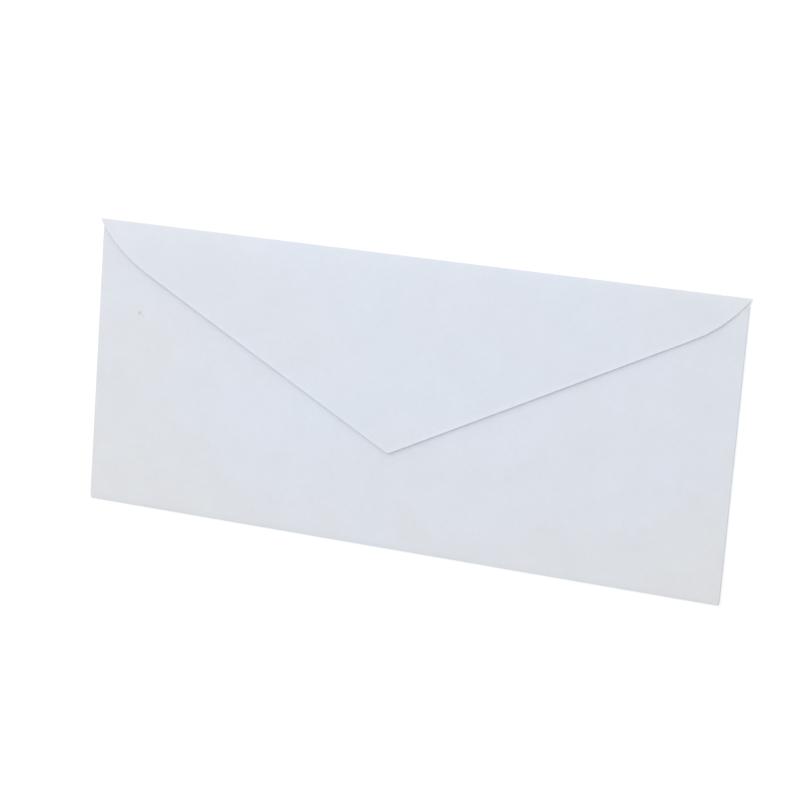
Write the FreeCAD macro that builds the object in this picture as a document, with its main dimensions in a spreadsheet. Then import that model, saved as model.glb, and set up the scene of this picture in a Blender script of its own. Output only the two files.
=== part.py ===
import FreeCAD, Part
import math
import os

import Sketcher
from FreeCAD import Placement, Rotation, Vector

# A long commercial paper envelope, lying address side down with its pointed flap folded shut.
# It is one die-cut sheet: the address panel in the middle, a narrow flap at each side, the
# back panel folded up from the bottom and glued over them, and the seal flap at the top.
# X runs along the long side, Y towards the seal flap's fold and Z up from the table.
# The origin is on the table, under the middle of the envelope.

# Lengths in millimetres and angles in degrees. Every depth and reach is measured from the
# outside of a fold.
driving_sizes = {
    "body_width": 241.3,
    "body_height": 104.8,
    "paper": 0.12,
    "pocket_gap": 0.5,
    "flap_gap": 0.3,
    "crease_radius": 0.24,
    "seal_roll": 7.0,
    "bottom_roll": 2.5,
    "side_roll": 2.5,
    "flap_depth": 69.8,
    "shoulder_drop": 7.5,
    "shoulder_radius": 63.0,
    "tip_radius": 2.0,
    "throat_depth": 14.0,
    "throat_corner_depth": 3.0,
    "throat_corner_radius": 1.5,
    "back_inset": 0.4,
    "side_flap_width": 18.0,
    "side_end_angle": 45.0,
    "side_corner_radius": 4.0,
    "corner_gap": 1.0,
    "ear": 0.6,
    "trim_margin": 3.0,
}

doc = FreeCAD.newDocument("paper_envelope")
sheet = doc.addObject("Spreadsheet::Sheet", "sizes")
for row, (alias, number) in enumerate(driving_sizes.items(), start=1):
    sheet.set(f"A{row}", alias.replace("_", " "))
    sheet.set(f"B{row}", str(number))
    sheet.setAlias(f"B{row}", alias)
doc.recompute()

# Formulas that several features share. Levels are heights of a layer's middle line.
half_width = "sizes.body_width / 2"
half_height = "sizes.body_height / 2"
half_paper = "sizes.paper / 2"
crease_reach = "(sizes.crease_radius + sizes.paper / 2)"
side_level = "(sizes.paper + sizes.pocket_gap + sizes.paper / 2)"
back_level = f"({side_level} + sizes.paper)"
seal_level = f"({back_level} + sizes.paper + sizes.flap_gap)"
fold_half_width = f"({half_width} + sizes.ear)"
back_half_width = f"({half_width} - sizes.back_inset)"
side_half_length = f"({half_height} - sizes.corner_gap)"
panel_half_width = f"({half_width} - {crease_reach})"
panel_half_height = f"({half_height} - {crease_reach})"

origin = (-1, 1)


def value_of(formula):
    return float(sheet.evalExpression(formula))


def new_body(name, turn=0):
    body = doc.addObject("PartDesign::Body", name)
    body.Placement = Placement(Vector(), Rotation(Vector(0, 0, 1), turn))
    return body


def new_sketch(body, name, role, lift=None):
    sketch = body.newObject("Sketcher::SketchObject", name)
    plane = next(plane for plane in body.Origin.OriginFeatures if plane.Role == role)
    sketch.AttachmentSupport = [(plane, "")]
    sketch.MapMode = "FlatFace"
    if lift:
        sketch.setExpression("AttachmentOffset.Base.z", lift)
    return sketch


def relate(sketch, kind, *ends):
    sketch.addConstraint(Sketcher.Constraint(kind, *ends))


def dimension(sketch, kind, ends, formula):
    value = value_of(formula)
    if kind == "Angle":
        value = math.radians(value)
    index = sketch.addConstraint(Sketcher.Constraint(kind, *ends, value))
    sketch.setExpression(f"Constraints[{index}]", formula)


def mirror_pair(sketch, first, second):
    # Keeps two points at equal distances on either side of the sketch's vertical axis, which
    # has the index -2.
    sketch.addConstraint(Sketcher.Constraint("Symmetric", *first, *second, -2))


def put_on_vertical_axis(sketch, point):
    sketch.addConstraint(Sketcher.Constraint("PointOnObject", *point, -2))


def add_line(sketch, start, end):
    return sketch.addGeometry(Part.LineSegment(start, end))


def add_arc(sketch, start, middle, end):
    return sketch.addGeometry(Part.Arc(start, middle, end))


def polar(angle, length):
    return Vector(length * math.cos(angle), length * math.sin(angle), 0)


def centred_rectangle(sketch, half_span, top, height):
    # A rectangle about the sketch's vertical axis, with its top edge at a height above the origin.
    x, high = value_of(half_span), value_of(top)
    low = high - value_of(height)
    corners = [Vector(-x, low, 0), Vector(x, low, 0), Vector(x, high, 0), Vector(-x, high, 0)]
    bottom, right, upper, left = [
        add_line(sketch, start, end) for start, end in zip(corners, corners[1:] + corners[:1])]
    for line, following in ((bottom, right), (right, upper), (upper, left), (left, bottom)):
        relate(sketch, "Coincident", line, 2, following, 1)
    mirror_pair(sketch, (bottom, 1), (bottom, 2))
    relate(sketch, "Horizontal", upper)
    relate(sketch, "Vertical", right)
    relate(sketch, "Vertical", left)
    dimension(sketch, "DistanceX", (*origin, upper, 1), half_span)
    dimension(sketch, "DistanceY", (*origin, upper, 1), top)
    dimension(sketch, "DistanceY", (right, 1, right, 2), height)


def fold_path(body, fold, level, roll, reach):
    # The sheet's middle line seen along a fold: from the address panel's edge round the tight
    # crease, up the soft roll behind it, and level to the free end.
    path = new_sketch(body, f"{body.Name}_fold_path", "YZ_Plane")
    crease = value_of("sizes.crease_radius")
    roll_length = value_of(roll)
    rise = value_of(level) - value_of(half_paper)
    slope = 2 * math.atan((rise - 2 * crease) / roll_length)
    roll_radius = roll_length / math.sin(slope)
    upright = math.pi / 2

    panel_edge = Vector(value_of(f"{fold} - {crease_reach}"), value_of(half_paper), 0)
    crease_centre = panel_edge + Vector(0, crease, 0)
    crease_end = crease_centre + polar(upright - slope, crease)
    roll_centre = crease_end - polar(upright - slope, roll_radius)
    roll_middle = roll_centre + polar(upright - slope / 2, roll_radius)
    roll_end = roll_centre + polar(upright, roll_radius)
    free_end = roll_end - Vector(value_of(reach) - roll_length, 0, 0)

    crease_arc = add_arc(path, panel_edge, crease_centre + Vector(crease, 0, 0), crease_end)
    roll_arc = add_arc(path, crease_end, roll_middle, roll_end)
    run = add_line(path, roll_end, free_end)
    relate(path, "Vertical", crease_arc, 1, crease_arc, 3)
    relate(path, "Tangent", crease_arc, 2, roll_arc, 1)
    relate(path, "Tangent", roll_arc, 2, run, 1)
    relate(path, "Horizontal", run)
    dimension(path, "DistanceX", (*origin, crease_arc, 3), f"{fold} - {crease_reach}")
    dimension(path, "DistanceY", (*origin, crease_arc, 1), half_paper)
    dimension(path, "Radius", (crease_arc,), "sizes.crease_radius")
    dimension(path, "DistanceY", (*origin, run, 1), level)
    dimension(path, "DistanceX", (run, 1, crease_arc, 3), roll)
    dimension(path, "DistanceX", (run, 2, crease_arc, 3), f"{reach} + sizes.trim_margin")
    return path


def folded_strip(body, fold, half_span, level, roll, reach):
    # The paper's own section carried along the fold path, before it is cut to its outline.
    path = fold_path(body, fold, level, roll, reach)
    section = new_sketch(body, f"{body.Name}_section", "XZ_Plane", f"{crease_reach} - {fold}")
    centred_rectangle(section, half_span, "sizes.paper", "sizes.paper")
    doc.recompute()
    strip = body.newObject("PartDesign::AdditivePipe", f"{body.Name}_strip")
    strip.Profile = section
    strip.Spine = (path, [f"Edge{number}" for number, _ in enumerate(path.Shape.Edges, start=1)])
    doc.recompute()
    return strip


def waste_border(sketch, first, last, depth):
    # Closes a cutting line that runs from first, on the right, to last, on the left, round the
    # outside of the strip, so that the loop holds the waste.
    start = sketch.getPoint(*first)
    end = sketch.getPoint(*last)
    margin = Vector(value_of("sizes.trim_margin"), 0, 0)
    drop = Vector(0, value_of(depth), 0)
    corners = [start, start + margin, start + margin - drop, end - margin - drop, end - margin, end]
    out, down, across, up, back = [
        add_line(sketch, corner, following) for corner, following in zip(corners, corners[1:])]
    relate(sketch, "Coincident", *first, out, 1)
    for line, following in ((out, down), (down, across), (across, up), (up, back)):
        relate(sketch, "Coincident", line, 2, following, 1)
    relate(sketch, "Coincident", back, 2, *last)
    for line in (out, across, back):
        relate(sketch, "Horizontal", line)
    for line in (down, up):
        relate(sketch, "Vertical", line)
    dimension(sketch, "DistanceX", (out, 1, out, 2), "sizes.trim_margin")
    dimension(sketch, "DistanceX", (back, 1, back, 2), "sizes.trim_margin")
    dimension(sketch, "DistanceY", (down, 2, down, 1), depth)


def die_cut(strip, cutting_line, depth):
    # Cuts the strip to the outline that cutting_line draws, through everything above the table.
    body = strip.getParent()
    outline = new_sketch(body, f"{body.Name}_outline", "XY_Plane")
    first, last = cutting_line(outline)
    waste_border(outline, first, last, f"{depth} + 2 * sizes.trim_margin")
    cut = body.newObject("PartDesign::Pocket", f"{body.Name}_cut")
    cut.Profile = outline
    cut.Reversed = True
    cut.Type = "ThroughAll"
    doc.recompute()
    if cut.Shape.Volume >= strip.Shape.Volume:
        raise RuntimeError(f"{cut.Name} removed nothing")
    return cut


def round_free_corners(cut, radius, corner):
    # Rounds the two upright corner edges that stand at plus and minus the given place.
    body = cut.getParent()
    names = []
    for number, edge in enumerate(cut.Shape.Edges, start=1):
        middle = edge.CenterOfMass
        beside = abs(abs(middle.x) - corner.x) + abs(middle.y - corner.y)
        if beside < value_of(half_paper) and len(edge.Vertexes) == 2:
            low, high = edge.Vertexes[0].Point, edge.Vertexes[1].Point
            if abs(low.z - high.z) > value_of(half_paper):
                names.append(f"Edge{number}")
    rounding = body.newObject("PartDesign::Fillet", f"{body.Name}_corners")
    rounding.Base = (cut, names)
    rounding.setExpression("Radius", radius)
    doc.recompute()
    return rounding


def seal_flap_line(sketch):
    # Convex shoulders fall from the fold's ends into straight flanks, which meet in a blunt point.
    # The shoulder arc goes through the end of the fold and runs into the flank without a corner.
    # A straight flank carried on to the envelope's side would meet it at the shoulder drop.
    fold_end = Vector(value_of(fold_half_width), value_of(f"{half_height} - {crease_reach}"), 0)
    flank_end = Vector(value_of(half_width), value_of(f"{half_height} - sizes.shoulder_drop"), 0)
    tip = value_of("sizes.tip_radius")
    shoulder = value_of("sizes.shoulder_radius")
    below = -math.pi / 2

    tip_centre = Vector(0, value_of(f"{half_height} - sizes.flap_depth") + tip, 0)
    to_flank_end = flank_end - tip_centre
    flank = math.atan2(to_flank_end.y, to_flank_end.x) + math.asin(tip / to_flank_end.Length)
    tip_right = tip_centre + polar(below + flank, tip)
    # The shoulder's centre is a radius inside the flank's line, and a radius from the fold's end.
    along_flank = polar(flank, 1)
    centre_line = tip_right - polar(below + flank, shoulder)
    to_end = fold_end - centre_line
    foot = to_end.dot(along_flank)
    beside = (to_end - along_flank * foot).Length
    shoulder_centre = centre_line + along_flank * (foot - math.sqrt(shoulder**2 - beside**2))
    shoulder_start = shoulder_centre + polar(below + flank, shoulder)
    to_fold = fold_end - shoulder_centre
    shoulder_end_angle = math.atan2(to_fold.y, to_fold.x)
    shoulder_middle = shoulder_centre + polar((below + flank + shoulder_end_angle) / 2, shoulder)

    def mirrored(point):
        return Vector(-point.x, point.y, 0)

    right_shoulder = add_arc(sketch, shoulder_start, shoulder_middle, fold_end)
    right_flank = add_line(sketch, tip_right, shoulder_start)
    tip_arc = add_arc(sketch, mirrored(tip_right), tip_centre - Vector(0, tip, 0), tip_right)
    left_flank = add_line(sketch, mirrored(tip_right), mirrored(shoulder_start))
    left_shoulder = add_arc(
        sketch, mirrored(fold_end), mirrored(shoulder_middle), mirrored(shoulder_start))
    flank_mark = sketch.addGeometry(Part.Point(flank_end), True)

    relate(sketch, "Tangent", right_shoulder, 1, right_flank, 2)
    relate(sketch, "Tangent", right_flank, 1, tip_arc, 2)
    relate(sketch, "Tangent", tip_arc, 1, left_flank, 1)
    relate(sketch, "Tangent", left_flank, 2, left_shoulder, 2)
    put_on_vertical_axis(sketch, (tip_arc, 3))
    relate(sketch, "Horizontal", tip_arc, 1, tip_arc, 2)
    mirror_pair(sketch, (right_shoulder, 2), (left_shoulder, 1))
    dimension(sketch, "DistanceX", (*origin, right_shoulder, 2), fold_half_width)
    dimension(sketch, "DistanceY", (*origin, right_shoulder, 2), f"{half_height} - {crease_reach}")
    dimension(sketch, "DistanceY", (tip_arc, 3, right_shoulder, 2),
              f"sizes.flap_depth - sizes.tip_radius - {crease_reach}")
    dimension(sketch, "Radius", (tip_arc,), "sizes.tip_radius")
    dimension(sketch, "Radius", (right_shoulder,), "sizes.shoulder_radius")
    dimension(sketch, "Radius", (left_shoulder,), "sizes.shoulder_radius")
    dimension(sketch, "DistanceX", (*origin, flank_mark, 1), half_width)
    dimension(sketch, "DistanceY", (*origin, flank_mark, 1), f"{half_height} - sizes.shoulder_drop")
    relate(sketch, "PointOnObject", flank_mark, 1, right_flank)
    return (right_shoulder, 2), (left_shoulder, 1)


def throat_line(sketch):
    # A shallow arc, highest at the pocket's sides, that the closed seal flap covers.
    dip = "(sizes.throat_depth - sizes.throat_corner_depth)"
    corner_y = f"{half_height} - sizes.throat_corner_depth"
    corner = Vector(value_of(back_half_width), -value_of(corner_y), 0)
    middle = Vector(0, corner.y + value_of(dip), 0)
    throat = add_arc(sketch, corner, middle, Vector(-corner.x, corner.y, 0))
    put_on_vertical_axis(sketch, (throat, 3))
    relate(sketch, "Horizontal", throat, 1, throat, 2)
    dimension(sketch, "DistanceX", (*origin, throat, 1), back_half_width)
    dimension(sketch, "DistanceY", (throat, 1, *origin), corner_y)
    dimension(sketch, "Radius", (throat,), f"({back_half_width} ^ 2 + {dip} ^ 2) / (2 * {dip})")
    return (throat, 1), (throat, 2)


def side_flap_corner():
    crease_y = value_of(f"{half_width} - {crease_reach}")
    free_y = value_of(f"{half_width} - sizes.side_flap_width")
    slant = math.tan(math.radians(value_of("sizes.side_end_angle")))
    return Vector(value_of(side_half_length) - (crease_y - free_y) * slant, free_y, 0)


def side_flap_line(sketch):
    # Slanted ends run from the crease to a shorter free edge, clear of the folds beside them.
    crease_end = Vector(value_of(side_half_length), value_of(f"{half_width} - {crease_reach}"), 0)
    corner = side_flap_corner()
    right_end = add_line(sketch, crease_end, corner)
    free_edge = add_line(sketch, corner, Vector(-corner.x, corner.y, 0))
    left_end = add_line(sketch, Vector(-corner.x, corner.y, 0), Vector(-crease_end.x, crease_end.y, 0))
    relate(sketch, "Coincident", right_end, 2, free_edge, 1)
    relate(sketch, "Coincident", free_edge, 2, left_end, 1)
    mirror_pair(sketch, (right_end, 1), (left_end, 2))
    mirror_pair(sketch, (free_edge, 1), (free_edge, 2))
    dimension(sketch, "DistanceX", (*origin, right_end, 1), side_half_length)
    dimension(sketch, "DistanceY", (*origin, right_end, 1), f"{half_width} - {crease_reach}")
    dimension(sketch, "DistanceY", (right_end, 2, right_end, 1), f"sizes.side_flap_width - {crease_reach}")
    dimension(sketch, "Angle", (-1, right_end), "270 - sizes.side_end_angle")
    return (right_end, 1), (left_end, 2)


def address_line(sketch):
    # A rectangle between the creases, widened above the side folds into an ear at each end of
    # the seal flap's fold.
    side_x, low_y = value_of(panel_half_width), -value_of(panel_half_height)
    neck_y, ear_x = value_of(side_half_length), value_of(fold_half_width)
    right_side = [Vector(side_x, low_y, 0), Vector(side_x, neck_y, 0), Vector(ear_x, -low_y, 0)]
    left_side = [Vector(-corner.x, corner.y, 0) for corner in reversed(right_side)]
    corners = right_side + left_side
    lines = [add_line(sketch, start, end) for start, end in zip(corners, corners[1:] + corners[:1])]
    right, top, left = lines[0::2]
    for line, following in zip(lines, lines[1:] + lines[:1]):
        relate(sketch, "Coincident", line, 2, following, 1)
    relate(sketch, "Vertical", right)
    mirror_pair(sketch, (right, 1), (left, 2))
    mirror_pair(sketch, (right, 2), (left, 1))
    mirror_pair(sketch, (top, 1), (top, 2))
    dimension(sketch, "DistanceX", (*origin, right, 2), panel_half_width)
    dimension(sketch, "DistanceX", (*origin, top, 1), fold_half_width)
    dimension(sketch, "DistanceY", (right, 1, *origin), panel_half_height)
    dimension(sketch, "DistanceY", (*origin, right, 2), side_half_length)
    dimension(sketch, "DistanceY", (*origin, top, 1), panel_half_height)


def make_address_panel():
    body = new_body("address_panel")
    outline = new_sketch(body, "address_outline", "XY_Plane")
    address_line(outline)
    panel = body.newObject("PartDesign::Pad", "address_sheet")
    panel.Profile = outline
    panel.setExpression("Length", "sizes.paper")
    return body


def make_seal_flap():
    body = new_body("seal_flap")
    strip = folded_strip(body, half_height, fold_half_width, seal_level, "sizes.seal_roll",
                         "sizes.flap_depth")
    die_cut(strip, seal_flap_line, "sizes.flap_depth")
    return body


def make_back_panel():
    body = new_body("back_panel", turn=180)
    reach = "(sizes.body_height - sizes.throat_corner_depth)"
    strip = folded_strip(body, half_height, back_half_width, back_level, "sizes.bottom_roll", reach)
    cut = die_cut(strip, throat_line, "sizes.throat_corner_depth")
    corner = Vector(value_of(back_half_width), value_of(f"{half_height} - {reach}"), 0)
    round_free_corners(cut, "sizes.throat_corner_radius", corner)
    return body


def make_side_flap(name, turn):
    body = new_body(name, turn)
    strip = folded_strip(body, half_width, side_half_length, side_level, "sizes.side_roll",
                         "sizes.side_flap_width")
    cut = die_cut(strip, side_flap_line, "sizes.side_flap_width")
    round_free_corners(cut, "sizes.side_corner_radius", side_flap_corner())
    return body


# The back panel lies on the side flaps where it is glued to them, so the five panels are one
# folded sheet, open at the throat under the seal flap.
envelope = doc.addObject("Part::MultiFuse", "envelope")
envelope.Label = "envelope"
envelope.Shapes = [
    make_address_panel(),
    make_side_flap("left_side_flap", 90),
    make_side_flap("right_side_flap", -90),
    make_back_panel(),
    make_seal_flap(),
]
envelope.Refine = True
doc.recompute()

for item in doc.Objects:
    if "Invalid" in item.State or "Error" in item.State:
        raise RuntimeError(f"{item.Name} could not be worked out: {item.State}")
if envelope.Shape.isNull() or not envelope.Shape.isValid():
    raise RuntimeError("the envelope's shape is not valid")
if len(envelope.Shape.Solids) != 1:
    raise RuntimeError(f"the folded sheet came out as {len(envelope.Shape.Solids)} solids")

os.makedirs("parts", exist_ok=True)
envelope.Shape.exportStep("parts/envelope.step")
box = envelope.Shape.BoundBox
print(f"envelope {box.XLength:.2f} x {box.YLength:.2f} x {box.ZLength:.2f} mm, "
      f"{envelope.Shape.Volume:.1f} mm3, {len(envelope.Shape.Faces)} faces")
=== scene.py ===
import math

import bmesh
import bpy
from mathutils import Matrix, Vector, noise


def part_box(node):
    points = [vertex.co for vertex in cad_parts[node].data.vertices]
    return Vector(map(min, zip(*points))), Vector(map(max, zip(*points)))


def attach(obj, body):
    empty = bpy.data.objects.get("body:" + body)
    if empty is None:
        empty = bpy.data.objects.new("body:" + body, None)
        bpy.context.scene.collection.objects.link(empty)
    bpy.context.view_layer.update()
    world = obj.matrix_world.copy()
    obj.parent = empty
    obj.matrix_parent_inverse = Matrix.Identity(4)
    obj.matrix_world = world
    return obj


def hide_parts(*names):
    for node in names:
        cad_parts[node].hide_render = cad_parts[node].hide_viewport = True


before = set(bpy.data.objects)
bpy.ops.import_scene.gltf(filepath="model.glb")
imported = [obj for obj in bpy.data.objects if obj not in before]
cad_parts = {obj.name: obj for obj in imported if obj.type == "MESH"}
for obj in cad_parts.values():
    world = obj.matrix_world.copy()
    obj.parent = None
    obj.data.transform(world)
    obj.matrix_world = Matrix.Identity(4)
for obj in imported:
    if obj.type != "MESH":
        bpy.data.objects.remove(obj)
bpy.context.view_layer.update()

mm = 0.001


# The photograph's view. Azimuth 0 looks along +Y, and roll turns the picture about its middle.
cameraValues = {
    "lens": 105.4,  # mm on a 36 mm sensor
    "distance": 0.8227,
    "azimuth": -117.69,
    "elevation": 66.45,
    "roll": -111.36,
    "aim": (-0.0001, 0.0015, 0.0),
    "clipStart": 0.05,
    "clipEnd": 20.0,
}


def placeCamera(values):
    azimuth, elevation, roll = (math.radians(values[k]) for k in ("azimuth", "elevation", "roll"))
    look = Vector((math.sin(azimuth) * math.cos(elevation),
                   math.cos(azimuth) * math.cos(elevation), -math.sin(elevation)))
    right = Vector((math.cos(azimuth), -math.sin(azimuth), 0.0))
    up = right.cross(look)
    rightRolled = right * math.cos(roll) + up * math.sin(roll)
    upRolled = up * math.cos(roll) - right * math.sin(roll)
    data = bpy.data.cameras.new("camera")
    data.lens = values["lens"]
    data.clip_start = values["clipStart"]
    data.clip_end = values["clipEnd"]
    camera = bpy.data.objects.new("camera", data)
    bpy.context.scene.collection.objects.link(camera)
    turn = Matrix((rightRolled, upRolled, -look)).transposed().to_4x4()
    place = Vector(values["aim"]) - look * values["distance"]
    camera.matrix_world = Matrix.Translation(place) @ turn
    bpy.context.scene.camera = camera


placeCamera(cameraValues)
print("camera placed")


# The folded sheet. Depths run inwards from the outside of a fold, and a level is the height of
# the paper's middle.
sheetValues = {
    "paper": 0.12 * mm,
    "ear": 0.6 * mm,  # how far the solid's box reaches past the body at each end
    "creaseRadius": 0.24 * mm,
    "creaseSteps": 8,
    "rollSteps": 5,
    "columns": 96,
    "rows": 40,
    "rowStep": 2.6 * mm,  # between the rows of a flap's level run
    "backInset": 0.4 * mm,  # the back panel's fold ends this far inside the body's sides
    "cornerGap": 1.3 * mm,  # and the side flaps' folds end this far from the corners
    "shadeAngle": math.radians(35),
}

boxLow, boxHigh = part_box("envelope")
halfWidth = (boxHigh.x - boxLow.x) / 2 - sheetValues["ear"]
halfHeight = (boxHigh.y - boxLow.y) / 2
creaseReach = sheetValues["creaseRadius"] + sheetValues["paper"] / 2
floorLevel = sheetValues["paper"] / 2
slack = sheetValues["paper"] / 8  # rows are found by their place to within this


def smooth(share):
    share = min(1.0, max(0.0, share))
    return share * share * (3 - 2 * share)


def selectRim(sheet, wanted):
    bpy.ops.mesh.select_all(action="DESELECT")
    mesh = bmesh.from_edit_mesh(sheet.data)
    for edge in mesh.edges:
        if edge.is_boundary and all(wanted(vert.co) for vert in edge.verts):
            edge.select_set(True)
    bmesh.update_edit_mesh(sheet.data)


def onFold(axis, place, halfSpan):
    # Finds the rim of the address panel along one fold, between plus and minus a half span.
    other = 1 - axis
    return lambda co: (abs(co[axis] - place) < slack and abs(co[other]) < halfSpan + slack
                       and abs(co.z - floorLevel) < slack)


def pullEdge(move, stretch=(1, 1, 1), centre=(0, 0, 0)):
    bpy.ops.mesh.extrude_region_move(TRANSFORM_OT_translate={"value": move})
    bpy.ops.transform.resize(value=stretch, center_override=centre)


def foldRows(values, half, end):
    # Where the rows of one flap lie: how far out from the envelope's middle, and how high. They
    # go round the tight crease, up the soft roll behind it and level to the flap's end.
    crease, level, roll = sheetValues["creaseRadius"], values["level"], values["roll"]
    centre = half - creaseReach
    slope = 2 * math.atan((level - floorLevel - 2 * crease) / roll)
    rollRadius = crease + roll / math.sin(slope)
    rows = []
    for step in range(1, sheetValues["creaseSteps"] + 1):
        turn = (math.pi - slope) * step / sheetValues["creaseSteps"]
        rows.append((centre + crease * math.sin(turn), creaseReach - crease * math.cos(turn)))
    for step in range(1, sheetValues["rollSteps"] + 1):
        turn = slope * (1 - step / sheetValues["rollSteps"])
        rows.append((centre - roll + rollRadius * math.sin(turn),
                     level - rollRadius * (1 - math.cos(turn))))
    run = centre - roll - end
    count = math.ceil(run / sheetValues["rowStep"])
    for step in range(1, count + 1):
        share = 1 - (1 - step / count) ** values["crowding"]
        rows.append((centre - roll - run * share, level))
    return rows


def layFlap(outward, half, rows, spanAt, shiftAt=lambda depth: 0.0):
    # Pulls the selected edge along the rows, and stretches each row to the flap's outline.
    across = Vector((abs(outward.y), abs(outward.x), 0))
    out, level = half - creaseReach, floorLevel
    span, shift = spanAt(creaseReach), shiftAt(creaseReach)
    for step, (newOut, newLevel) in enumerate(rows):
        turned = step >= sheetValues["creaseSteps"] / 2
        depth = max(half - newOut, creaseReach) if turned else creaseReach
        newSpan, newShift = spanAt(depth), shiftAt(depth)
        move = outward * (newOut - out) + across * (newShift - shift)
        move.z += newLevel - level
        stretch = Vector((1, 1, 1)) + across * (newSpan / span - 1)
        pullEdge(move, stretch, across * newShift)
        out, level, span, shift = newOut, newLevel, newSpan, newShift


def addAddressPanel():
    bpy.ops.object.select_all(action="DESELECT")
    bpy.ops.mesh.primitive_grid_add(
        x_subdivisions=sheetValues["columns"], y_subdivisions=sheetValues["rows"],
        size=1, location=(0, 0, floorLevel))
    sheet = bpy.context.object
    sheet.name = "foldedSheet"
    bpy.ops.object.transform_apply(location=True, rotation=False, scale=False)
    bpy.ops.object.mode_set(mode="EDIT")
    bpy.ops.mesh.select_mode(type="EDGE")
    bpy.ops.mesh.select_all(action="SELECT")
    gridX = halfWidth - sheetValues["backInset"]
    gridY = halfHeight - sheetValues["cornerGap"]
    bpy.ops.transform.resize(value=(2 * gridX, 2 * gridY, 1), center_override=(0, 0, floorLevel))
    for side in (-1, 1):
        selectRim(sheet, lambda co: abs(co.x - side * gridX) < slack)
        pullEdge((side * (halfWidth - creaseReach - gridX), 0, 0))
    for side in (-1, 1):
        selectRim(sheet, lambda co: abs(co.y - side * gridY) < slack)
        pullEdge((0, side * (halfHeight - creaseReach - gridY), 0))
    return sheet


sideFlapValues = {
    "level": 0.60 * mm,
    "roll": 2.5 * mm,
    "width": 18.0 * mm,
    "endSlope": math.radians(45),
    "cornerRadius": 4.0 * mm,
    "crowding": 1.6,  # rows stand closer towards the free edge
}


def foldSideFlaps(sheet, values):
    sideSpan = halfHeight - sheetValues["cornerGap"]
    radius = values["cornerRadius"]
    slant = math.tan(values["endSlope"])
    lean = math.pi / 2 - values["endSlope"]
    roundCentre = values["width"] - radius
    spanCentre = sideSpan - (roundCentre - creaseReach) * slant - radius / math.sin(lean)

    def spanAt(depth):
        if depth < roundCentre + radius * math.sin(values["endSlope"]):
            return sideSpan - (depth - creaseReach) * slant
        return spanCentre + math.sqrt(max(0, radius ** 2 - (depth - roundCentre) ** 2))

    rows = foldRows(values, halfWidth, halfWidth - values["width"])
    for side in (-1, 1):
        selectRim(sheet, onFold(0, side * (halfWidth - creaseReach), sideSpan))
        layFlap(Vector((side, 0, 0)), halfWidth, rows, spanAt)


backPanelValues = {
    "level": 0.74 * mm,
    "roll": 2.5 * mm,
    "flush": 0.25 * mm,  # how much wider than its fold, to lie flush with the side folds
    "throatDepth": 14.0 * mm,
    "throatCornerDepth": 3.0 * mm,
    "cornerRadius": 1.5 * mm,
    "crowding": 1.25,  # rows stand closer towards the throat
    "fanStart": 30.0 * mm,  # and curve with it from this far below its corners
    "settleStart": 4.0 * mm,  # from here up, its sides follow the side flaps
    "settleReach": 8.0 * mm,
}


def settleOnSide(vert, values):
    # The back panel's glued margins follow the side flaps down to their creases.
    sideLevel, sideRoll = sideFlapValues["level"], sideFlapValues["roll"]
    creaseTop = floorLevel + 2 * sheetValues["creaseRadius"]
    over = abs(vert.co.x) - (halfWidth - creaseReach - sideRoll)
    if over > 0 and vert.co.z > (sideLevel + values["level"]) / 2:
        up = halfHeight + vert.co.y - values["settleStart"]
        share = smooth(up / values["settleReach"])
        vert.co.z -= (sideLevel - creaseTop) * min(1.0, over / sideRoll) ** 2 * share


def foldBackPanel(sheet, values):
    backSpan = halfWidth - sheetValues["backInset"]
    end = -(halfHeight - values["throatCornerDepth"])
    radius = values["cornerRadius"]
    fullDepth = halfHeight - end

    def spanAt(depth):
        wider = values["flush"] * smooth((depth - creaseReach) / values["roll"])
        into = max(0.0, depth - fullDepth + radius)
        return backSpan + wider - radius + math.sqrt(max(0, radius ** 2 - into ** 2))

    rows = foldRows(values, halfHeight, end)
    selectRim(sheet, onFold(1, -halfHeight + creaseReach, backSpan))
    layFlap(Vector((0, -1, 0)), halfHeight, rows, spanAt)

    # The rows near the throat curve with it: it dips from its corners towards its middle.
    dip = values["throatDepth"] - values["throatCornerDepth"]
    throatRadius = (backSpan ** 2 + dip ** 2) / (2 * dip)
    mesh = bmesh.from_edit_mesh(sheet.data)
    for vert in mesh.verts:
        share = (vert.co.y - (-end - values["fanStart"])) / values["fanStart"]
        if share > 0 and abs(vert.co.z - values["level"]) < slack:
            drop = dip - (throatRadius - math.sqrt(throatRadius ** 2 - vert.co.x ** 2))
            vert.co.y -= drop * share
        settleOnSide(vert, values)
    bmesh.update_edit_mesh(sheet.data)


sealFlapValues = {
    "level": 1.06 * mm,
    "roll": 6.0 * mm,
    "depth": 70.1 * mm,
    "ear": 0.9 * mm,  # how far its fold reaches past each side of the body
    "flank": math.radians(27.6),
    "tipRadius": 2.0 * mm,
    "tipLeast": 0.1,  # its last row keeps this share of the tip's radius
    "tipMerge": 0.07 * mm,
    "shoulderRadius": 57.0 * mm,
    "shoulderStart": 9.5 * mm,
    "shoulderEnd": 20.5 * mm,
    "shiftAtFold": -0.35 * mm,  # the flap was cut and folded a little to the left
    "shiftAtShoulder": -1.35 * mm,
    "shiftAtTip": -2.65 * mm,
    "edgeColumns": 0.6,  # how much closer the columns stand along the cut edge
    "crowding": 1.5,  # rows stand closer towards the tip
    "curlHeight": 0.20 * mm,
    "curlWidth": 1.8 * mm,
    "curlStart": 0.5,  # the curl begins at this share of the roll
}


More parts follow.
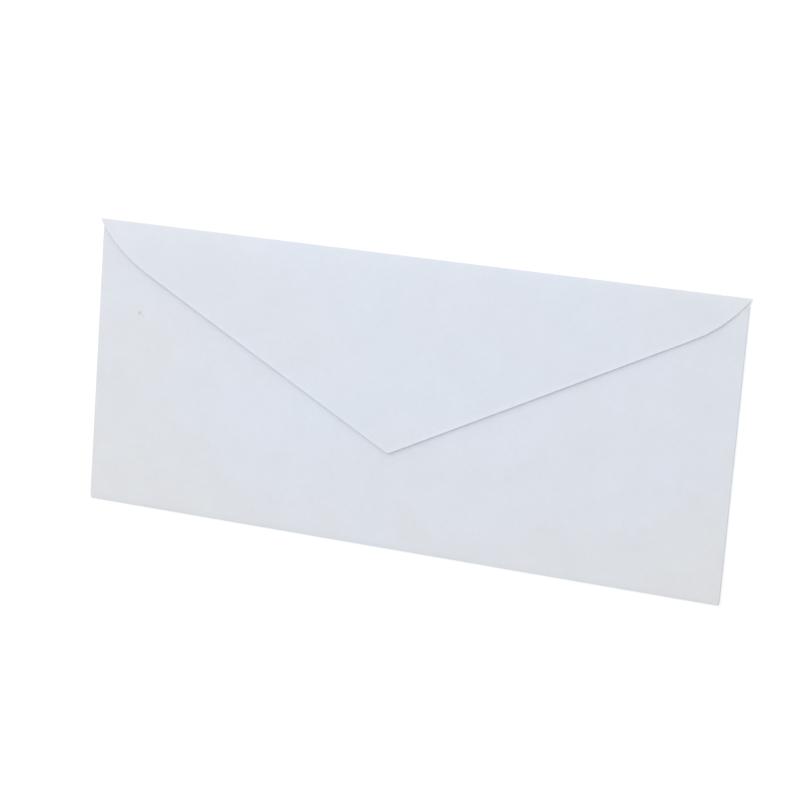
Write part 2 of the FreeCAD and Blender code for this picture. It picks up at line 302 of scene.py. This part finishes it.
def sealOutline(values):
    # Gives the half width of the flap at a depth: rounded shoulder, straight flank, blunt tip.
    flank, tip, radius = values["flank"], values["tipRadius"], values["shoulderRadius"]
    tipCentre = values["depth"] - tip
    along = Vector((math.cos(flank), -math.sin(flank)))
    inward = Vector((-math.sin(flank), -math.cos(flank)))
    base = Vector((0, tipCentre)) + inward * (radius - tip)
    toFold = Vector((halfWidth + values["ear"], creaseReach)) - base
    foot = toFold.dot(along)
    beside = (toFold - along * foot).length
    shoulder = base + along * (foot - math.sqrt(radius ** 2 - beside ** 2))

    def spanAt(depth):
        if depth < shoulder.y + radius * math.cos(flank):
            return shoulder.x + math.sqrt(radius ** 2 - (depth - shoulder.y) ** 2)
        if depth < tipCentre + tip * math.cos(flank):
            return (tip - (depth - tipCentre) * math.cos(flank)) / math.sin(flank)
        rounded = math.sqrt(max(0, tip ** 2 - (depth - tipCentre) ** 2))
        return max(values["tipLeast"] * tip, rounded)

    return spanAt


def sealShift(values):
    # Gives how far right the flap's middle lies at a depth.
    start, end, depthAtTip = values["shoulderStart"], values["shoulderEnd"], values["depth"]
    atFold, atShoulder, atTip = (values["shiftAt" + k] for k in ("Fold", "Shoulder", "Tip"))

    def shiftAt(depth):
        shoulder = smooth((depth - start) / (end - start))
        tip = max(0.0, (depth - end) / (depthAtTip - end))
        return atFold + (atShoulder - atFold) * shoulder + (atTip - atShoulder) * tip

    return shiftAt


def curlEdge(sheet, values, spanAt, shiftAt):
    # The columns slide towards the cut edge, and the edge itself curls up a little.
    mesh = bmesh.from_edit_mesh(sheet.data)
    for vert in mesh.verts:
        depth = halfHeight - vert.co.y
        if vert.co.z < values["level"] - slack or depth < creaseReach + values["roll"] / 2:
            continue
        span, shift = spanAt(depth), shiftAt(depth)
        place = min(1.0, max(-1.0, (vert.co.x - shift) / span))
        slide = values["edgeColumns"] * smooth(depth / values["shoulderEnd"])
        place += slide * math.sin(math.pi * place) / math.pi
        vert.co.x = shift + span * place
        narrowing = (spanAt(depth - creaseReach) - spanAt(depth + creaseReach)) / (2 * creaseReach)
        fromEdge = (1 - abs(place)) * span / math.hypot(1, narrowing)
        curl = values["curlHeight"] * max(0.0, 1 - fromEdge / values["curlWidth"]) ** 2
        vert.co.z += curl * smooth(depth / values["roll"] - values["curlStart"])
    bmesh.update_edit_mesh(sheet.data)


def mergeTip(sheet, values):
    # Columns that all but meet at the tip are merged.
    bpy.ops.mesh.select_all(action="DESELECT")
    bpy.ops.mesh.select_mode(type="VERT")
    tipStart = values["depth"] - 2 * values["tipRadius"]
    mesh = bmesh.from_edit_mesh(sheet.data)
    for vert in mesh.verts:
        if halfHeight - vert.co.y > tipStart and vert.co.z > values["level"]:
            vert.select_set(True)
    bmesh.update_edit_mesh(sheet.data)
    bpy.ops.mesh.remove_doubles(threshold=values["tipMerge"])


def foldSealFlap(sheet, values):
    panelSpan = halfWidth - creaseReach
    earSpan = halfWidth + values["ear"]
    spanAt, shiftAt = sealOutline(values), sealShift(values)
    # The panel's last row widens into the ears at the ends of the fold.
    selectRim(sheet, onFold(1, halfHeight - creaseReach, panelSpan))
    shift = shiftAt(creaseReach)
    bpy.ops.transform.translate(value=(shift, 0, 0))
    bpy.ops.transform.resize(value=(earSpan / panelSpan, 1, 1), center_override=(shift, 0, 0))
    rows = foldRows(values, halfHeight, halfHeight - values["depth"])
    layFlap(Vector((0, 1, 0)), halfHeight, rows, spanAt, shiftAt)
    curlEdge(sheet, values, spanAt, shiftAt)
    mergeTip(sheet, values)


lieValues = {
    "rimWidth": 12.0 * mm,  # the upper layers lie flat at the folds and rise over this width
    "swell": 0.22 * mm,
    "swellPowers": (4, 2),  # along the length and up the height, flatter on top when higher
    "waveHeight": 0.16 * mm,
    "waveScale": 19.0,  # waves per metre
    "waveSquash": 1.3,  # waves come this much closer up the height than along the length
    "waveLayer": 0.0,  # where the noise is cut: another layer gives other waves
    "flapWave": 0.08 * mm,
    "flapWaveRise": 0.5,  # share of it that lifts the whole flap
    "flapWaveLayer": 7.0,
    "flapLift": 0.25 * mm,  # the unsealed flap stands off the back, more so towards its tip
    "flapLiftReach": 18.0 * mm,
    "flapLean": 0.8,  # its left half stands higher than its right
    "flapLag": 0.5,  # and leaves the fold sooner
}


def settle(sheet, values):
    # The upper layers swell and wave a little over the pocket, and stay down along the folds.
    top = (backPanelValues["level"] + sealFlapValues["level"]) / 2
    scale = values["waveScale"]
    powerAcross, powerUp = values["swellPowers"]
    mesh = bmesh.from_edit_mesh(sheet.data)
    for vert in mesh.verts:
        x, y, z = vert.co
        across, up = x / halfWidth, y / halfHeight
        rim = min(halfWidth - abs(x), halfHeight - abs(y)) / values["rimWidth"]
        raised = (z - floorLevel) / (sideFlapValues["level"] - floorLevel)
        weight = smooth(rim) * min(1.0, max(0.0, raised))
        swell = values["swell"] * max(0, 1 - across ** powerAcross) * max(0, 1 - up ** powerUp)
        wavePlace = Vector((x * scale, y * scale * values["waveSquash"], values["waveLayer"]))
        wave = values["waveHeight"] * noise.noise(wavePlace)
        vert.co.z += weight * (swell + wave)
        if z > top:
            reach = values["flapLiftReach"] * (1 + values["flapLag"] * across)
            stand = smooth((halfHeight - y) / reach) * (1 - values["flapLean"] * across)
            ripplePlace = Vector((x * scale, y * scale, values["flapWaveLayer"]))
            ripple = values["flapWaveRise"] + noise.noise(ripplePlace)
            vert.co.z += values["flapLift"] * stand + weight * values["flapWave"] * ripple
    bmesh.update_edit_mesh(sheet.data)


def makeSheet():
    sheet = addAddressPanel()
    print("address panel laid")
    foldSideFlaps(sheet, sideFlapValues)
    print("side flaps folded")
    foldBackPanel(sheet, backPanelValues)
    print("back panel folded")
    foldSealFlap(sheet, sealFlapValues)
    print("seal flap folded")
    settle(sheet, lieValues)
    bpy.ops.mesh.select_all(action="SELECT")
    bpy.ops.mesh.normals_make_consistent(inside=False)
    bpy.ops.object.mode_set(mode="OBJECT")
    bpy.ops.object.modifier_add(type="SOLIDIFY")
    thickness = sheet.modifiers[-1]
    thickness.thickness = sheetValues["paper"]
    thickness.offset = 0
    bpy.ops.object.modifier_apply(modifier=thickness.name)
    bpy.ops.object.shade_smooth_by_angle(angle=sheetValues["shadeAngle"])
    print("sheet settled and given its thickness:", len(sheet.data.polygons), "faces")
    return sheet


# Shader maths: a Wire is one socket, and +, -, * and ** on wires add Math nodes.
class Wire:
    def __init__(self, recipe, socket):
        self.recipe, self.socket = recipe, socket

    def output(self, name):
        return Wire(self.recipe, self.socket.node.outputs[name])

    def combine(self, operation, first, second):
        return self.recipe.node("ShaderNodeMath", {"operation": operation}, {0: first, 1: second})

    def __add__(self, other):
        return self.combine("ADD", self, other)

    def __radd__(self, other):
        return self.combine("ADD", other, self)

    def __sub__(self, other):
        return self.combine("SUBTRACT", self, other)

    def __rsub__(self, other):
        return self.combine("SUBTRACT", other, self)

    def __mul__(self, other):
        return self.combine("MULTIPLY", self, other)

    def __rmul__(self, other):
        return self.combine("MULTIPLY", other, self)

    def __pow__(self, power):
        return self.combine("POWER", self, power)

    def ramp(self, start, end):
        # Runs from 0 at the start to 1 at the end, and stays there.
        return self.recipe.node("ShaderNodeMapRange", {"clamp": True}, {0: self, 1: start, 2: end})


class Recipe:
    def __init__(self, owner, outKind):
        owner.use_nodes = True
        self.owner, self.outKind, self.tree = owner, outKind, owner.node_tree
        self.tree.nodes.clear()

    def node(self, kind, settings, inputs):
        made = self.tree.nodes.new(kind)
        for key, value in settings.items():
            setattr(made, key, value)
        for key, value in inputs.items():
            if isinstance(value, Wire):
                self.tree.links.new(value.socket, made.inputs[key])
            else:
                made.inputs[key].default_value = value
        return Wire(self, made.outputs[0])

    def finish(self, shader):
        out = self.tree.nodes.new(self.outKind)
        self.tree.links.new(shader.socket, out.inputs["Surface"])
        return self.owner


paperLook = {
    "coolTint": (0.738, 0.774, 0.844, 1.0),
    "shadeAndMottleTint": (0.749, 0.749, 0.758, 1.0),  # painted shade: greyer and darker towards both ends and the bottom fold, where the light falls off; the drift also mixes it in at random as mottling
    "paintedShadeLeft": (0.3, 0.5),  # where the painted shade begins between the middle and the end, and its strength
    "paintedShadeRight": (0.5, 0.35),
    "paintedShadeBottom": (0.2, 0.5),
    "plainDrift": 0.3,
    "driftRange": (0.35, 0.65),
    "roughness": 0.86,
    "specular": 0.25,
    "grain": (1400.0, 4.0),  # features per metre, and detail
    "coarse": (420.0, 3.0),
    "cloud": (70.0, 5.0),
    "drift": (24.0, 3.0),
    "noiseRoughness": 0.55,
    "noiseMiddle": 0.5,
    "grainTone": 0.05,  # how much each noise changes the tone
    "coarseTone": 0.05,
    "cloudTone": 0.06,
    "grainHeight": 0.012 * mm,
    "grainStrength": 0.6,
    "grainShare": 0.7,
    "coarseShare": 1.3,
    "flecks": [  # right, up, radius, depth of tone
        (-103.85 * mm, 19.55 * mm, 0.95 * mm, 0.19),
        (-102.1 * mm, 18.6 * mm, 0.6 * mm, 0.07),
        (-104.1 * mm, 17.5 * mm, 0.5 * mm, 0.05),
    ],
    "fleckLevel": 0.5 * mm,  # they mark the upper side alone, above this height
    "fleckFade": 0.1 * mm,
}


def paperMaterial(look):
    recipe = Recipe(bpy.data.materials.new("wove paper"), "ShaderNodeOutputMaterial")
    place = recipe.node("ShaderNodeTexCoord", {}, {}).output("Object")
    parts = recipe.node("ShaderNodeSeparateXYZ", {}, {0: place})
    right, up, height = (parts.output(k) for k in "XYZ")

    def pattern(name):
        scale, detail = look[name]
        return recipe.node("ShaderNodeTexNoise", {}, {
            "Vector": place, "Scale": scale, "Detail": detail,
            "Roughness": look["noiseRoughness"]})

    def towards(name, distance, half):
        start, strength = look[name]
        return strength * distance.ramp(start * half, half)

    grain, coarse, cloud = pattern("grain"), pattern("coarse"), pattern("cloud")
    drift = look["plainDrift"] * pattern("drift").ramp(*look["driftRange"])
    # Painted shade: the tint turns greyer and darker towards both ends and the bottom fold, where
    # the light falls off; the drift mixes in the same tint at random as mottling.
    ends = towards("paintedShadeLeft", 0.0 - right, halfWidth) + towards("paintedShadeRight", right, halfWidth)
    plain = ends + towards("paintedShadeBottom", 0.0 - up, halfHeight) + drift
    tint = recipe.node("ShaderNodeMix", {"data_type": "RGBA"}, {
        "Factor": plain.ramp(0.0, 1.0), "A": look["coolTint"], "B": look["shadeAndMottleTint"]})

    middle = look["noiseMiddle"]
    tone = 1.0 + (grain - middle) * look["grainTone"] + (coarse - middle) * look["coarseTone"]
    tone = tone + (cloud - middle) * look["cloudTone"]

    # One faint dark fleck with two fainter ones beside it.
    upper = height.ramp(look["fleckLevel"], look["fleckLevel"] + look["fleckFade"])
    for fleckRight, fleckUp, radius, depth in look["flecks"]:
        away = (right - fleckRight) ** 2.0 + (up - fleckUp) ** 2.0
        tone = tone - away.ramp(radius ** 2, 0.0) * upper * depth

    tinted = recipe.node("ShaderNodeVectorMath", {"operation": "SCALE"}, {
        0: tint.output("Result"), "Scale": tone})
    bump = recipe.node("ShaderNodeBump", {}, {
        "Strength": look["grainStrength"], "Distance": look["grainHeight"],
        "Height": grain * look["grainShare"] + coarse * look["coarseShare"]})
    return recipe.finish(recipe.node("ShaderNodeBsdfPrincipled", {}, {
        "Base Color": tinted, "Roughness": look["roughness"],
        "Specular IOR Level": look["specular"], "Normal": bump}))


studioValues = {
    "floorSize": 6.0,
    "floorColour": (0.8, 0.8, 0.8, 1.0),
    "floorGlow": 0.28,
    "seenColour": (1.0, 1.0, 1.0, 1.0),
    "worldColour": (0.96, 0.98, 1.0, 1.0),
    "worldStrength": 0.87,
    "keyPlace": (-0.36, 0.70, 0.50),
    "keySize": 0.95,
    "keyEnergy": 2.8,
}


def seenRays(recipe):
    # 1 for what is seen, straight or in a shine, and 0 for light that falls on things.
    path = recipe.node("ShaderNodeLightPath", {}, {})
    seen = path.output("Is Camera Ray") + path.output("Is Glossy Ray")
    return seen + path.output("Is Transmission Ray")


def floorMaterial(values):
    # White where it is seen, and still darker under the envelope's shadow.
    recipe = Recipe(bpy.data.materials.new("studio floor"), "ShaderNodeOutputMaterial")
    plain = recipe.node("ShaderNodeBsdfDiffuse", {}, {"Color": values["floorColour"]})
    glow = recipe.node("ShaderNodeEmission", {}, {
        "Color": values["seenColour"], "Strength": values["floorGlow"]})
    lifted = recipe.node("ShaderNodeAddShader", {}, {0: plain, 1: glow})
    return recipe.finish(recipe.node("ShaderNodeMixShader", {}, {
        0: seenRays(recipe), 1: plain, 2: lifted}))


def studioWorld(values):
    # Cool light on the envelope, and white where the world itself is seen.
    recipe = Recipe(bpy.data.worlds.new("studio"), "ShaderNodeOutputWorld")
    room = recipe.node("ShaderNodeBackground", {}, {
        "Color": values["worldColour"], "Strength": values["worldStrength"]})
    backdrop = recipe.node("ShaderNodeBackground", {}, {"Color": values["seenColour"]})
    return recipe.finish(recipe.node("ShaderNodeMixShader", {}, {
        0: seenRays(recipe), 1: room, 2: backdrop}))


def buildStudio(values):
    bpy.ops.mesh.primitive_plane_add(size=values["floorSize"])
    floor = bpy.context.object
    floor.name = "floor"
    floor.data.materials.append(floorMaterial(values))

    lamp = bpy.data.lights.new("key lamp", "AREA")
    lamp.size = values["keySize"]
    lamp.energy = values["keyEnergy"]
    key = bpy.data.objects.new("key lamp", lamp)
    key.location = values["keyPlace"]
    key.rotation_mode = "QUATERNION"
    key.rotation_quaternion = Vector(values["keyPlace"]).to_track_quat("Z", "Y")
    bpy.context.scene.collection.objects.link(key)
    bpy.context.scene.world = studioWorld(values)


sheet = makeSheet()
sheet.data.materials.append(paperMaterial(paperLook))
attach(sheet, "root")
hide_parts("envelope")
print("paper made")

buildStudio(studioValues)
bpy.context.scene.view_settings.view_transform = "Standard"
print("studio built")
